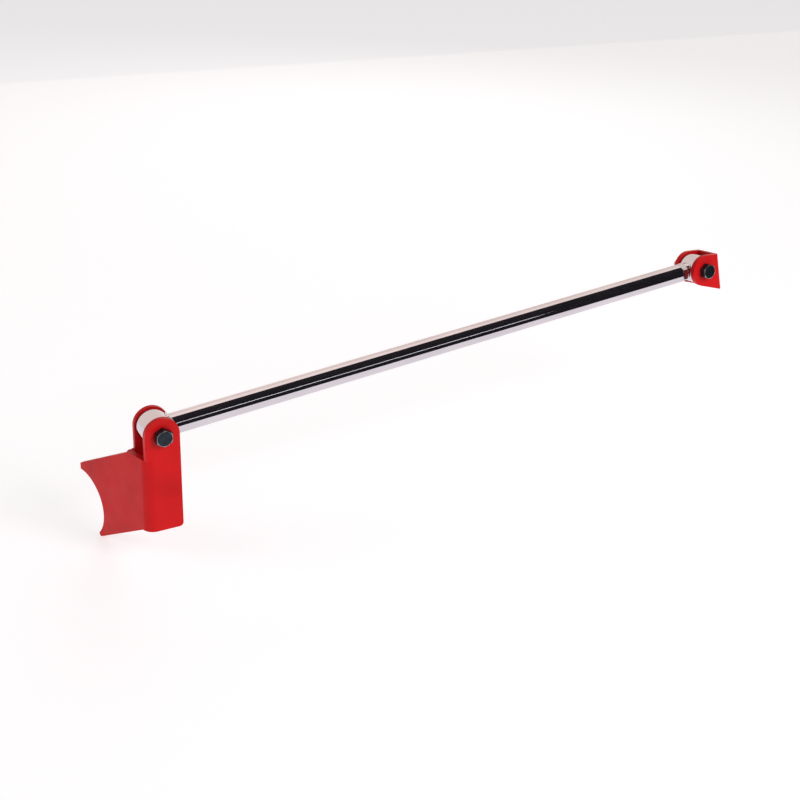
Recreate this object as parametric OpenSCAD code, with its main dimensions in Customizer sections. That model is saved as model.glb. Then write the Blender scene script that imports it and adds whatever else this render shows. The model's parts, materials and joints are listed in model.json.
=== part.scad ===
// Adjustable track bar: a plated tube with a bushed eye at each end, an axle bracket with a
// saddle for the axle tube, and a U-shaped frame bracket. All sizes are in millimetres.
// The origin is the centre of the axle tube in the saddle. X runs along the vehicle's axle
// towards the frame bracket, Y runs towards the axle and Z is up.

/* [Bar] */
// Distance between the two bolt centres
bar_length = 800; // [700:1:900]
// Outside diameter of the tube
tube_od = 25.4; // [24:0.1:26]
// Wall thickness of the tube
tube_wall = 3; // [2.4:0.1:3.2]
// Slope of the bar above level, in degrees
bar_rise = 5.5; // [-10:0.5:15]

/* [Eyes and bushings] */
// Outside diameter of both eye barrels
eye_od = 38.1; // [37:0.1:38.5]
// Wall thickness of the eye barrels
eye_wall = 3.2; // [2.5:0.1:4]
// Clear gap between the two ears of each bracket
ear_gap = 27.5; // [27:0.1:30]
// Thickness of each bushing's outer flange
bushing_flange = 2; // [1.5:0.1:2.5]
// Outside diameter of the bushing flanges
bushing_flange_d = 37; // [34:0.5:37.5]
// Outside diameter of the steel sleeve in each bushing
sleeve_od = 19; // [17:0.1:20]
// Roll of the frame eye about the bar, in degrees
eye_roll = 8.5; // [0:0.5:20]

/* [Fasteners] */
// Diameter of both bolts
bolt_d = 12.7; // [12:0.1:12.8]
// Width across the flats of the bolt heads and nuts
hex_af = 19.05; // [18:0.05:20]
// Height of the bolt heads
head_h = 8.6; // [7:0.1:9]
// Height of the hexagonal part of the lock nuts
nut_h = 10; // [9:0.5:12]
// Outside diameter of the flat washers
washer_d = 27; // [24:0.5:30]

/* [Adjuster] */
// Diameter of the threaded stud
stud_d = 15.875; // [15:0.005:16]
// Width across the flats of the jam nut
jam_af = 23.8; // [23:0.1:26]
// Thickness of the jam nut
jam_h = 9.2; // [8:0.1:9.2]
// Diameter of the stud's neck at the eye
neck_d = 23; // [20:0.5:24]
// Distance from the frame bolt's centre to the end of the tube
tube_setback = 33; // [33:0.5:40]

/* [Axle bracket] */
// Diameter of the axle tube that the saddle fits
axle_tube_d = 88.9; // [86:0.1:90]
// Thickness of the bracket plate
plate = 6.35; // [6:0.05:6.5]
// Width of the ears
ear_w = 41.5; // [40:0.5:44]
// Height of the bolt above the axle tube's centre
bolt_height = 138.5; // [135:0.5:142]
// Distance of the axle tube's centre behind the front face, along the leg
saddle_reach = 138.5; // [136:0.5:142]
// Angle that the leg is bent back from the front flange, in degrees
leg_bend = 75; // [72:1:84]
// Outside radius of the bend
bend_r = 14; // [10:0.5:16]
// Depth of the front flange below the bolt
flange_drop = 122; // [118:0.5:126]
// Depth of the slot between the ears below the bolt
slot_drop = 29; // [28:0.5:32]
// Depth of the back ear below the bolt
back_ear_drop = 78; // [60:1:90]
// Slope of the leg's top edge, in degrees
top_slope = 28.5; // [28:0.5:30]
// Slope of the leg's bottom edge, in degrees
low_slope = 29.5; // [28:0.5:30]
// Radius of the two tips of the saddle
tip_r = 3; // [2:0.5:4]

/* [Frame bracket] */
// Radius of the rounded noses of the side plates
nose_r = 21.5; // [20:0.5:22]
// Distance from the bolt's centre to the mounting face
web_face = 25.9; // [25.9:0.1:30]
// Height of the mounting face above the bolt
web_up = 16.5; // [16:0.5:20]
// Height of the mounting face below the bolt
web_down = 34; // [30:0.5:36]
// Outside radius of the bracket's two bends
web_bend_r = 4; // [2:0.5:6]
// Tilt of the frame bracket about its bolt, in degrees
bracket_tilt = 4.5; // [-10:0.5:10]

/* [Hidden] */
$fn = 96;
eps = 0.01;

// Widths that follow from the gap and the plate
ear_r = ear_w / 2;
outer_w = ear_gap + 2 * plate;
side_play = 0.3;
bushing_end = ear_gap / 2 - side_play;
eye_len = 2 * (bushing_end - bushing_flange);
eye_r = eye_od / 2;
eye_bore_r = eye_r - eye_wall;

// Clearances
bolt_hole_r = bolt_d / 2 + 0.25;
// Washer, and the lock nut's collar and nylon ring
washer_h = 2.5;
collar_h = 4;
collar_r = 8.4;
insert_r = 7.6;
running_fit = 0.05;
thread_fit = 0.08;
end_gap = 0.3;
// Overlap of the front ear and the bent strip, which are fused into one solid
ear_foot = 8;
// Angle short of the saddle at which each tip's rounding stops, in degrees
tip_stop = 40;

// Place of the axle bolt: the leg runs from the virtual corner of the bend along leg_dir,
// and the saddle's centre is the origin, in the middle of the leg's thickness
leg_dir = [-cos(leg_bend), sin(leg_bend)];
leg_in = [sin(leg_bend), cos(leg_bend)];
saddle_from_bolt = [-ear_r, -outer_w / 2] + saddle_reach * leg_dir + plate / 2 * leg_in;
bolt_at = [-saddle_from_bolt.x, -saddle_from_bolt.y, bolt_height];

// Bend of the axle bracket
bend_run = bend_r * tan(leg_bend / 2);
bend_x = -ear_r + bend_run;
bend_y = -outer_w / 2 + bend_r;

// Back ear's lower left edge, where it meets the leg's inner face
ear_foot_run = (outer_w - plate - plate * cos(leg_bend)) / sin(leg_bend);
ear_foot_x = -ear_r + plate * sin(leg_bend) - ear_foot_run * cos(leg_bend);
weld_r = 4.2;
weld_h = back_ear_drop - slot_drop;
weld_run = (outer_w - plate * cos(leg_bend)) / sin(leg_bend);
weld_x = -ear_r + plate * sin(leg_bend) - weld_run * cos(leg_bend);

// Leg outline, in distance along the leg and height from the bolt
saddle_r = axle_tube_d / 2;
saddle_at = [saddle_reach, -bolt_height];
top_start = [slot_flat(), -slot_drop];
low_start = [bend_run + 1.2, -flange_drop];
function slot_flat() = outer_w / sin(leg_bend) - 8;

// Unit vector along a slope that falls towards the saddle
function down(slope) = [cos(slope), -sin(slope)];
// Unit normal of that slope, pointing up
function lift(slope) = [sin(slope), cos(slope)];
// Centre of a tip that touches an edge line on its side and the saddle circle
function tip_at(start, slope, side) =
    let (base = start - side * tip_r * lift(slope),
         to_saddle = saddle_at - base,
         along = to_saddle * down(slope),
         off = to_saddle * lift(slope),
         reach = saddle_r + tip_r)
    base + (along - sqrt(reach * reach - off * off)) * down(slope);
upper_tip = tip_at(top_start, top_slope, 1);
lower_tip = tip_at(low_start, low_slope, -1);

// Stations along the bar from the axle bolt
tube_end = bar_length - tube_setback;
bung_len = 45;
jam_at = tube_end + 0.2;
neck_at = jam_at + jam_h + end_gap;
stud_len = 50;
tube_bore_r = tube_od / 2 - tube_wall;

// Points of an arc about a centre, from one angle to another
function arc(centre, r, from, to, steps = 24) =
    [for (i = [0 : steps]) let (a = from + (to - from) * i / steps) centre + r * [cos(a), sin(a)]];
// Angle of a direction
function angle_of(v) = atan2(v.y, v.x);

// ---- Places ----------------------------------------------------------------

module at_axle_bolt() {
    translate(bolt_at) children();
}

// Bar frame: X along the bar from the axle bolt
module at_bar() {
    at_axle_bolt() rotate([0, -bar_rise, 0]) children();
}

// Frame eye: the bar frame moved to the far bolt and rolled about the bar
module at_frame_eye() {
    at_bar() translate([bar_length, 0, 0]) rotate([-eye_roll, 0, 0]) children();
}

module at_frame_bracket() {
    at_frame_eye() rotate([0, -bracket_tilt, 0]) children();
}

// Cylinder along Y between two stations
module along_y(y0, y1, r) {
    translate([0, y1, 0]) rotate([90, 0, 0]) cylinder(r = r, h = y1 - y0);
}

// Cylinder or cone along X between two stations
module along_x(x0, x1, r0, r1) {
    translate([x0, 0, 0]) rotate([0, 90, 0]) cylinder(r1 = r0, r2 = r1, h = x1 - x0);
}

// Flat plate from an outline drawn in X and Z, between two Y stations
module plate_xz(y0, y1) {
    translate([0, y1, 0]) rotate([90, 0, 0]) linear_extrude(y1 - y0) children();
}

// ---- Shared fasteners --------------------------------------------------------

// Hexagonal prism along Y with its corners chamfered at one end
module hex_y(y0, y1, af, chamfer_at_y0) {
    corner_r = af / cos(30) / 2;
    chamfer = corner_r - af / 2 * 0.96;
    tip_y = chamfer_at_y0 ? y0 : y1;
    base_y = chamfer_at_y0 ? y1 : y0;
    intersection() {
        translate([0, y1, 0]) rotate([90, 0, 0]) cylinder(r = corner_r, h = y1 - y0, $fn = 6);
        translate([0, base_y, 0])
            rotate([chamfer_at_y0 ? 90 : -90, 0, 0])
                cylinder(r1 = corner_r - chamfer + (y1 - y0) * 1.7, r2 = corner_r - chamfer, h = y1 - y0);
    }
}

// Hex bolt with its head against the front ear
module bolt() {
    shank_end = outer_w / 2 + washer_h + nut_h + collar_h + 2.5;
    hex_y(-outer_w / 2 - head_h, -outer_w / 2, hex_af, true);
    along_y(-outer_w / 2 - eps, shank_end - 1, bolt_d / 2);
    translate([0, shank_end - 1 - eps, 0])
        rotate([-90, 0, 0]) cylinder(r1 = bolt_d / 2, r2 = bolt_d / 2 - 1, h = 1);
}

// Lock nut: a hexagon with a round collar that holds the insert
module lock_nut() {
    y0 = outer_w / 2 + washer_h;
    difference() {
        union() {
            hex_y(y0, y0 + nut_h, hex_af, false);
            along_y(y0 + nut_h - eps, y0 + nut_h + collar_h, collar_r);
        }
        along_y(y0 - 1, y0 + nut_h + collar_h + 1, bolt_d / 2 + running_fit);
        along_y(y0 + nut_h, y0 + nut_h + collar_h - 0.6, insert_r);
    }
}

module nut_insert() {
    y0 = outer_w / 2 + washer_h + nut_h;
    difference() {
        along_y(y0, y0 + collar_h - 0.6, insert_r);
        along_y(y0 - 1, y0 + collar_h + 1, bolt_d / 2 + running_fit);
    }
}

module flat_washer() {
    difference() {
        along_y(outer_w / 2, outer_w / 2 + washer_h, washer_d / 2);
        along_y(outer_w / 2 - 1, outer_w / 2 + washer_h + 1, bolt_hole_r);
    }
}

// ---- Shared bushings and eyes -------------------------------------------------

module sleeve() {
    difference() {
        along_y(-ear_gap / 2, ear_gap / 2, sleeve_od / 2);
        along_y(-ear_gap / 2 - 1, ear_gap / 2 + 1, bolt_hole_r);
    }
}

// One bushing half; side is -1 at the front and 1 at the back
module bushing(side) {
    flange_in = bushing_end - bushing_flange;
    scale_y = side < 0 ? [0, 0, 180] : [0, 0, 0];
    rotate(scale_y) difference() {
        union() {
            along_y(0.25, flange_in + eps, eye_bore_r);
            along_y(flange_in, bushing_end, bushing_flange_d / 2);
        }
        along_y(-1, bushing_end + 1, sleeve_od / 2 + running_fit);
    }
}

module eye_barrel() {
    difference() {
        along_y(-eye_len / 2, eye_len / 2, eye_r);
        along_y(-eye_len / 2 - 1, eye_len / 2 + 1, eye_bore_r);
    }
}

// ---- Axle bracket --------------------------------------------------------------

// Front ear: a round top, and a foot that overlaps the bent strip below the slot
module front_ear_outline() {
    polygon(concat(
        arc([0, 0], ear_r, 0, 180, 48),
        [[-ear_r, -slot_drop], [bend_x, -slot_drop], [bend_x, -slot_drop - ear_foot],
         [ear_r, -slot_drop - ear_foot]]
    ));
}

// Outline of the flange and the bend below the slot, with the corner rounded at lower right
module flange_outline() {
    corner = 5;
    over = 5;
    low_x = ear_r + 0.8;
    polygon(concat(
        [[ear_r, -slot_drop + over], [-2 * ear_w, -slot_drop + over], [-2 * ear_w, -flange_drop]],
        arc([low_x - corner, -flange_drop + corner], corner, -90, 0, 12),
        [[ear_r, -slot_drop]]
    ));
}

// Leg in its own plane: first axis along the leg, second axis up. Its near end runs into
// the bend, and its top runs past the strip's top edge.
module leg_outline() {
    back_in = 5;
    over = 8;
    polygon(concat(
        [low_start - back_in * down(low_slope), [low_start.x - back_in, -slot_drop + over],
         top_start - over / sin(top_slope) * down(top_slope)],
        arc(upper_tip, tip_r, 90 - top_slope, angle_of(saddle_at - upper_tip) + tip_stop, 8),
        [saddle_at],
        arc(lower_tip, tip_r, angle_of(saddle_at - lower_tip) - tip_stop, -90 - low_slope, 8)
    ));
}

// Plan of the bent strip, from the flange's free edge round the bend and along the leg
module bent_strip_plan() {
    corner_at = [-ear_r, -outer_w / 2];
    leg_end = corner_at + saddle_reach * leg_dir;
    polygon(concat(
        [[2 * ear_w, -ear_gap / 2], [2 * ear_w, -outer_w / 2]],
        arc([bend_x, bend_y], bend_r, 270, 270 - leg_bend, 16),
        [leg_end, leg_end + plate * leg_in],
        arc([bend_x, bend_y], bend_r - plate, 270 - leg_bend, 270, 16)
    ));
}

// The leg's own frame: X along the leg from the bend's virtual corner, Y into the bracket
module at_leg() {
    translate([-ear_r, -outer_w / 2, 0]) rotate([0, 0, 180 - leg_bend]) children();
}

module axle_bracket() color([0.72, 0.05, 0.05]) at_axle_bolt() {
    difference() {
        plate_xz(-outer_w / 2, -ear_gap / 2) front_ear_outline();
        along_y(-outer_w / 2 - 1, -ear_gap / 2 + 1, bolt_hole_r);
    }
    difference() {
        intersection() {
            translate([0, 0, -2 * bolt_height])
                linear_extrude(2 * bolt_height - slot_drop) bent_strip_plan();
            union() {
                plate_xz(-outer_w / 2 - 1, bend_y - 1) flange_outline();
                at_leg() plate_xz(-2 * plate, plate) leg_outline();
            }
        }
        at_leg() translate([saddle_at.x, plate, saddle_at.y])
            rotate([90, 0, 0]) cylinder(r = saddle_r, h = 3 * plate, $fn = 180);
    }
}

module axle_back_ear() color([0.6, 0.04, 0.04]) at_axle_bolt() difference() {
    plate_xz(ear_gap / 2, outer_w / 2) {
        polygon(concat(
            arc([0, 0], ear_r, 0, 180, 48),
            [[-ear_r, -slot_drop], [ear_foot_x, -slot_drop], [ear_foot_x, -back_ear_drop],
             [ear_r, -back_ear_drop]]
        ));
    }
    along_y(ear_gap / 2 - 1, outer_w / 2 + 1, bolt_hole_r);
}

// Weld bead down the corner between the back ear and the leg
module axle_ear_weld() color([0.55, 0.05, 0.05]) at_axle_bolt()
    translate([weld_x + 0.6, outer_w / 2 - 0.4, 0]) {
        translate([0, 0, -back_ear_drop]) rotate_extrude() polygon(concat(
            [[0, 0]], arc([0, weld_r], weld_r, -90, 0, 6),
            arc([0, weld_h - weld_r], weld_r, 0, 90, 6)
        ));
    }

module axle_bolt() color([0.12, 0.14, 0.17]) at_axle_bolt() bolt();
module axle_nut() color([0.7, 0.7, 0.72]) at_axle_bolt() lock_nut();
module axle_nut_insert() color([0.85, 0.85, 0.8]) at_axle_bolt() nut_insert();
module axle_nut_washer() color([0.72, 0.72, 0.74]) at_axle_bolt() flat_washer();
module axle_sleeve() color([0.6, 0.6, 0.6]) at_axle_bolt() sleeve();

// ---- Bar -------------------------------------------------------------------------

module axle_bushing_front() color([0.08, 0.08, 0.09]) at_bar() bushing(-1);
module axle_bushing_back() color([0.08, 0.08, 0.09]) at_bar() bushing(1);
module axle_eye() color([0.82, 0.82, 0.84]) at_bar() eye_barrel();

// Tube, coped at the axle end to sit on the eye
module bar_tube() color([0.85, 0.85, 0.88]) at_bar() difference() {
    along_x(0, tube_end, tube_od / 2, tube_od / 2);
    along_x(-1, tube_end + 1, tube_bore_r, tube_bore_r);
    along_y(-tube_od, tube_od, eye_r);
}

// Bead round the tube where it meets an eye; side is 1 when the tube leaves towards +X
module eye_bead(side, inner_r) {
    bead_r = inner_r + 2.2;
    mirror([side < 0 ? 1 : 0, 0, 0]) difference() {
        along_x(0, eye_r + 0.8, bead_r, bead_r);
        along_x(-1, eye_r + 2, inner_r, inner_r);
        along_y(-tube_od, tube_od, eye_r);
        translate([-tube_od, -tube_od, -tube_od]) cube([tube_od, 2 * tube_od, 2 * tube_od]);
    }
    mirror([side < 0 ? 1 : 0, 0, 0]) difference() {
        along_x(eye_r + 0.8 - eps, eye_r + 3, bead_r, inner_r + 0.3);
        along_x(eye_r, eye_r + 4, inner_r, inner_r);
    }
}

// Ground flat at both sides, so that it swings between the ears
module axle_eye_weld() color([0.75, 0.75, 0.78]) at_bar() intersection() {
    eye_bead(1, tube_od / 2);
    translate([0, -bushing_end, -tube_od]) cube([2 * tube_od, 2 * bushing_end, 2 * tube_od]);
}

// Threaded bung pressed and welded into the tube's open end
module tube_bung() color([0.7, 0.7, 0.72]) at_bar() difference() {
    along_x(tube_end - bung_len, tube_end, tube_bore_r, tube_bore_r);
    along_x(tube_end - bung_len - 1, tube_end + 1, stud_d / 2 + thread_fit, stud_d / 2 + thread_fit);
}

module jam_nut() color([0.8, 0.8, 0.82]) at_frame_eye() translate([-bar_length, 0, 0]) difference() {
    intersection() {
        translate([jam_at, 0, 0]) rotate([0, 90, 0]) rotate([0, 0, 30])
            cylinder(r = jam_af / cos(30) / 2, h = jam_h, $fn = 6);
        along_x(jam_at, jam_at + jam_h, jam_af / 2 * 0.97 + jam_h, jam_af / 2 * 0.97);
        along_x(jam_at, jam_at + jam_h, jam_af / 2 * 0.97, jam_af / 2 * 0.97 + jam_h);
    }
    along_x(jam_at - 1, jam_at + jam_h + 1, stud_d / 2 + thread_fit, stud_d / 2 + thread_fit);
}

// ---- Frame eye ---------------------------------------------------------------------

// Stud with a shoulder that is coped to the eye
module eye_stud() color([0.78, 0.78, 0.8]) at_frame_eye() difference() {
    union() {
        along_x(neck_at - bar_length - stud_len, neck_at - bar_length + eps, stud_d / 2, stud_d / 2);
        along_x(neck_at - bar_length, 0, neck_d / 2, neck_d / 2);
    }
    along_y(-tube_od, tube_od, eye_r);
    translate([-eps, -tube_od, -tube_od]) cube(2 * tube_od);
}

module frame_eye() color([0.82, 0.82, 0.84]) at_frame_eye() eye_barrel();

module frame_eye_weld() color([0.75, 0.75, 0.78]) at_frame_eye() difference() {
    bead_end = neck_at - bar_length + 0.6;
    along_x(bead_end, 0, neck_d / 2 + 0.6, neck_d / 2 + 1.8);
    along_x(bead_end - 1, 1, neck_d / 2, neck_d / 2);
    along_y(-tube_od, tube_od, eye_r);
    translate([-eye_r / 2, -tube_od, -tube_od]) cube(2 * tube_od);
}

module frame_bushing_front() color([0.08, 0.08, 0.09]) at_frame_eye() bushing(-1);
module frame_bushing_back() color([0.08, 0.08, 0.09]) at_frame_eye() bushing(1);

// ---- Frame bracket ------------------------------------------------------------------

module frame_sleeve() color([0.6, 0.6, 0.6]) at_frame_bracket() sleeve();
module frame_bolt() color([0.12, 0.14, 0.17]) at_frame_bracket() bolt();
module frame_nut() color([0.7, 0.7, 0.72]) at_frame_bracket() lock_nut();
module frame_nut_insert() color([0.85, 0.85, 0.8]) at_frame_bracket() nut_insert();
module frame_nut_washer() color([0.72, 0.72, 0.74]) at_frame_bracket() flat_washer();

// Angle at which a line from a corner touches the nose circle; side is 1 above, -1 below
function touch_angle(corner, side) = atan2(corner.y, corner.x) + side * acos(nose_r / norm(corner));

// Side of the bracket: a round nose that flares to the mounting face
module side_outline() {
    corner_r = 3;
    top = [web_face, web_up];
    low = [web_face, -web_down];
    low_in = low + [-corner_r, corner_r];
    top_touch = touch_angle(top, 1);
    low_touch = touch_angle(low_in, -1);
    polygon(concat(
        [top],
        arc([0, 0], nose_r, top_touch, 360 + low_touch, 48),
        arc(low_in, corner_r, low_touch, 0, 12)
    ));
}

// Plan of the bent strip: a U with round outer corners
module strip_plan() {
    open_x = -nose_r - 1;
    bend_centre = [web_face - web_bend_r, outer_w / 2 - web_bend_r];
    polygon(concat(
        [[open_x, -outer_w / 2]],
        arc([bend_centre.x, -bend_centre.y], web_bend_r, -90, 0, 12),
        arc(bend_centre, web_bend_r, 0, 90, 12),
        [[open_x, outer_w / 2], [open_x, ear_gap / 2], [web_face - plate, ear_gap / 2],
         [web_face - plate, -ear_gap / 2], [open_x, -ear_gap / 2]]
    ));
}

module frame_bracket() color([0.72, 0.05, 0.05]) at_frame_bracket() difference() {
    intersection() {
        translate([0, 0, -web_down - 1]) linear_extrude(web_up + web_down + nose_r + 2) strip_plan();
        plate_xz(-outer_w / 2 - 1, outer_w / 2 + 1) side_outline();
    }
    along_y(-outer_w / 2 - 1, outer_w / 2 + 1, bolt_hole_r);
}

axle_bracket();
axle_back_ear();
axle_ear_weld();
axle_bolt();
axle_nut();
axle_nut_insert();
axle_nut_washer();
axle_sleeve();
axle_bushing_front();
axle_bushing_back();
axle_eye();
axle_eye_weld();
bar_tube();
tube_bung();
jam_nut();
eye_stud();
frame_eye();
frame_eye_weld();
frame_bushing_front();
frame_bushing_back();
frame_sleeve();
frame_bolt();
frame_nut();
frame_nut_insert();
frame_nut_washer();
frame_bracket();
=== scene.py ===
import json
import math

import bmesh
import bpy
from mathutils import Matrix, Vector


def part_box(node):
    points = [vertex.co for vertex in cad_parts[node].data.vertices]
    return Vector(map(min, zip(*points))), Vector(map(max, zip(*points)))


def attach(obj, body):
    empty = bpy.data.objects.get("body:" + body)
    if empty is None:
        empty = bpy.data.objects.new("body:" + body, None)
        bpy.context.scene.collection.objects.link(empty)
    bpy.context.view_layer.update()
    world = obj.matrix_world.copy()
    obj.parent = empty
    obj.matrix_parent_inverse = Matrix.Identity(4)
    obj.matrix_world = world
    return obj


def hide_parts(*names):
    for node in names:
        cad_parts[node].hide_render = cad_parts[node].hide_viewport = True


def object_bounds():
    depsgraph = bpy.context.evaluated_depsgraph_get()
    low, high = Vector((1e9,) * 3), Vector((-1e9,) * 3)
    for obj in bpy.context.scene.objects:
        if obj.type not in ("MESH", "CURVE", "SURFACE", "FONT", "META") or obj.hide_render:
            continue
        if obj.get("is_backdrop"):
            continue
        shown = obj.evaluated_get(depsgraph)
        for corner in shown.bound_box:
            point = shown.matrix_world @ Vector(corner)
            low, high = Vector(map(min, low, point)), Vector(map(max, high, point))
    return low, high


bl_info = {
    "name": "Adjustable Track Bar",
    "version": (1, 0, 0),
    "blender": (4, 5, 0),
    "location": "View3D > Sidebar > Track Bar",
    "description": "Builds the finished look of an adjustable track bar around its packed frame",
    "category": "Object",
}

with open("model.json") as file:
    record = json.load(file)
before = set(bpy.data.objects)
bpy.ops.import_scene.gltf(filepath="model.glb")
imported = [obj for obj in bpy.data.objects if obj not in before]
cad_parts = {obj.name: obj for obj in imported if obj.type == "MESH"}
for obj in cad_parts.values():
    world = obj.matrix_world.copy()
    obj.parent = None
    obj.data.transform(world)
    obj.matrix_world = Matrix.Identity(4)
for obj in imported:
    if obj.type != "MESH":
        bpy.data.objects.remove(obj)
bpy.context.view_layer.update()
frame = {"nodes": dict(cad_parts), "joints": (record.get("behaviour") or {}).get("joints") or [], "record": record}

JOINTS = {joint["name"]: joint for joint in frame["joints"]}
MOUNTS = {mount["name"]: mount for mount in frame["record"]["mounts"]}
MM = 0.001

# Faces narrower than this, beside a turn of more than this angle, count as a rounded edge: rubbed wear on the red
# paint, a painted highlight on the bolts and the machined plate
WEAR_AND_HIGHLIGHT_LAYER = "wear_and_highlight_edge"
NARROW_FACE = 0.9 * MM
EDGE_TURN = math.radians(17)
# Plate edges that turn by more than this are eased
PLATE_CORNER = math.radians(35)
# Share of a hexagon's half width where its chamfer starts, and the chamfer's angle
CHAMFER_START = 0.94
CHAMFER_ANGLE = math.radians(30)
# A gap too small to see, between a turned piece and what it is pressed against
SEAT_GAP = 0.3 * MM


# ---- Places ------------------------------------------------------------------

def basis(origin, x_axis, y_axis):
    """A frame at origin whose X and Y lie along the two axes."""
    x = Vector(x_axis).normalized()
    y = Vector(y_axis).normalized()
    z = x.cross(y)
    rows = Matrix((x, y, z)).transposed().to_4x4()
    return Matrix.Translation(Vector(origin)) @ rows


AXLE_BOLT = Vector(JOINTS["axle_pivot"]["pos_m"])
FRAME_BOLT = Vector(JOINTS["frame_pivot"]["pos_m"])
BAR_DIRECTION = Vector(JOINTS["eye_feed"]["axis"])
FRAME_BOLT_AXIS = -Vector(JOINTS["frame_pivot"]["axis"])
BAR_LENGTH = (FRAME_BOLT - AXLE_BOLT).length

AXLE_PLACE = basis(AXLE_BOLT, (1, 0, 0), (0, 1, 0))
BAR_PLACE = basis(AXLE_BOLT, BAR_DIRECTION, (0, 1, 0))
EYE_PLACE = basis(FRAME_BOLT, BAR_DIRECTION, FRAME_BOLT_AXIS)
BRACKET_PLACE = basis(FRAME_BOLT, MOUNTS["frame_face"]["axis"], FRAME_BOLT_AXIS)


# ---- Mesh helpers ------------------------------------------------------------

def mark_wear_and_highlight_edges(bm, mark_rounded_edges=True):
    """Marks the narrow faces that round an edge, for the materials' rubbed edges and painted edge highlights."""
    layer = bm.loops.layers.float_color.new(WEAR_AND_HIGHLIGHT_LAYER)
    for face in bm.faces:
        narrow = face.calc_area() / max(edge.calc_length() for edge in face.edges) < NARROW_FACE
        turned = any(
            len(edge.link_faces) == 2 and edge.calc_face_angle(0.0) > EDGE_TURN
            for edge in face.edges
        )
        mark = 1.0 if mark_rounded_edges and narrow and turned else 0.0
        for loop in face.loops:
            loop[layer] = (mark, mark, mark, 1.0)


def new_mesh_object(name, verts, faces, place=Matrix.Identity(4), mark_rounded_edges=True):
    """An object whose mesh is placed in the shared frame, with its faces outwards."""
    mesh = bpy.data.meshes.new(name)
    mesh.from_pydata([place @ Vector(v) for v in verts], [], faces)
    mesh.validate()
    bm = bmesh.new()
    bm.from_mesh(mesh)
    bmesh.ops.recalc_face_normals(bm, faces=bm.faces)
    mark_wear_and_highlight_edges(bm, mark_rounded_edges)
    bm.to_mesh(mesh)
    bm.free()
    piece = bpy.data.objects.new(name, mesh)
    bpy.context.scene.collection.objects.link(piece)
    return piece


def smooth(piece, angle=35.0):
    """Smooth shading that keeps edges sharper than the angle, in degrees."""
    mesh = piece.data
    mesh.shade_smooth()
    mesh.set_sharp_from_angle(angle=math.radians(angle))


def grid_faces(rows, columns, wrap_rows=False):
    """Quads of a grid of rows that each close on themselves."""
    faces = []
    for i in range(rows if wrap_rows else rows - 1):
        for j in range(columns):
            a = i * columns + j
            b = i * columns + (j + 1) % columns
            c = ((i + 1) % rows) * columns + (j + 1) % columns
            d = ((i + 1) % rows) * columns + j
            faces.append((a, b, c, d))
    return faces


def along(axis, station, radius, angle):
    """A point at a station along X or Y, at a radius and an angle about that axis."""
    if axis == "X":
        return (station, radius * math.cos(angle), radius * math.sin(angle))
    return (radius * math.cos(angle), station, radius * math.sin(angle))


def ring_solid(name, profile, axis, place, segments=96):
    """A turned piece: profile is a closed loop of (station, radius) pairs, all off the axis."""
    verts = []
    for station, radius in profile:
        for j in range(segments):
            verts.append(along(axis, station, radius, math.tau * j / segments))
    return new_mesh_object(name, verts, grid_faces(len(profile), segments, True), place)


def rod_verts(profile, axis, segments):
    """Rings of a solid turned piece and its two end points."""
    verts = []
    for station, radius in profile:
        for j in range(segments):
            verts.append(along(axis, station, radius, math.tau * j / segments))
    verts.append(along(axis, profile[0][0], 0, 0))
    verts.append(along(axis, profile[-1][0], 0, 0))
    return verts


def rod_faces(rows, segments):
    """Faces of a grid of rows, closed by a fan at each end."""
    faces = grid_faces(rows, segments)
    first, last = rows * segments, rows * segments + 1
    for j in range(segments):
        faces.append((first, (j + 1) % segments, j))
        top = (rows - 1) * segments
        faces.append((last, top + j, top + (j + 1) % segments))
    return faces


def rod_solid(name, profile, axis, place, segments=96):
    """A solid turned piece: profile runs from one end to the other."""
    faces = rod_faces(len(profile), segments)
    return new_mesh_object(name, rod_verts(profile, axis, segments), faces, place)


def rounded_tube_profile(start, end, inner, outer, edge):
    """Closed profile of a ring whose four corners are eased by edge."""
    return [
        (start + edge, inner), (start, inner + edge), (start, outer - edge),
        (start + 0.3 * edge, outer - 0.3 * edge), (start + edge, outer),
        (end - edge, outer), (end - 0.3 * edge, outer - 0.3 * edge),
        (end, outer - edge), (end, inner + edge), (end - edge, inner),
    ]


def hexagon_radius(flats, angle):
    """Distance from the axis to a hexagon's side at an angle."""
    sector = math.radians(60)
    return flats / 2 / math.cos((angle + sector / 2) % sector - sector / 2)


def hex_profile(start, end, flats, chamfer_start, chamfer_end, bore=None):
    """Rings of a hexagon along an axis as functions of angle: (station, radius) at each."""
    corner_cut = flats / 2 * CHAMFER_START
    slope = math.tan(CHAMFER_ANGLE)

    def ring(side, share):
        chamfered = chamfer_start if side < 0 else chamfer_end

        def at(angle):
            beyond = hexagon_radius(flats, angle) - corner_cut
            drop = beyond * slope if chamfered else 0
            station = start if side < 0 else end
            return station - side * drop * share, corner_cut + beyond * share
        return at

    def flat(station, radius):
        return lambda angle: (station, radius)

    rings = [flat(start, corner_cut * 0.9), ring(-1, 0.0), ring(-1, 0.5), ring(-1, 1.0)]
    rings += [ring(1, 1.0), ring(1, 0.5), ring(1, 0.0), flat(end, corner_cut * 0.9)]
    if bore:
        rings = [flat(start, bore)] + rings + [flat(end, bore)]
    return rings


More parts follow.
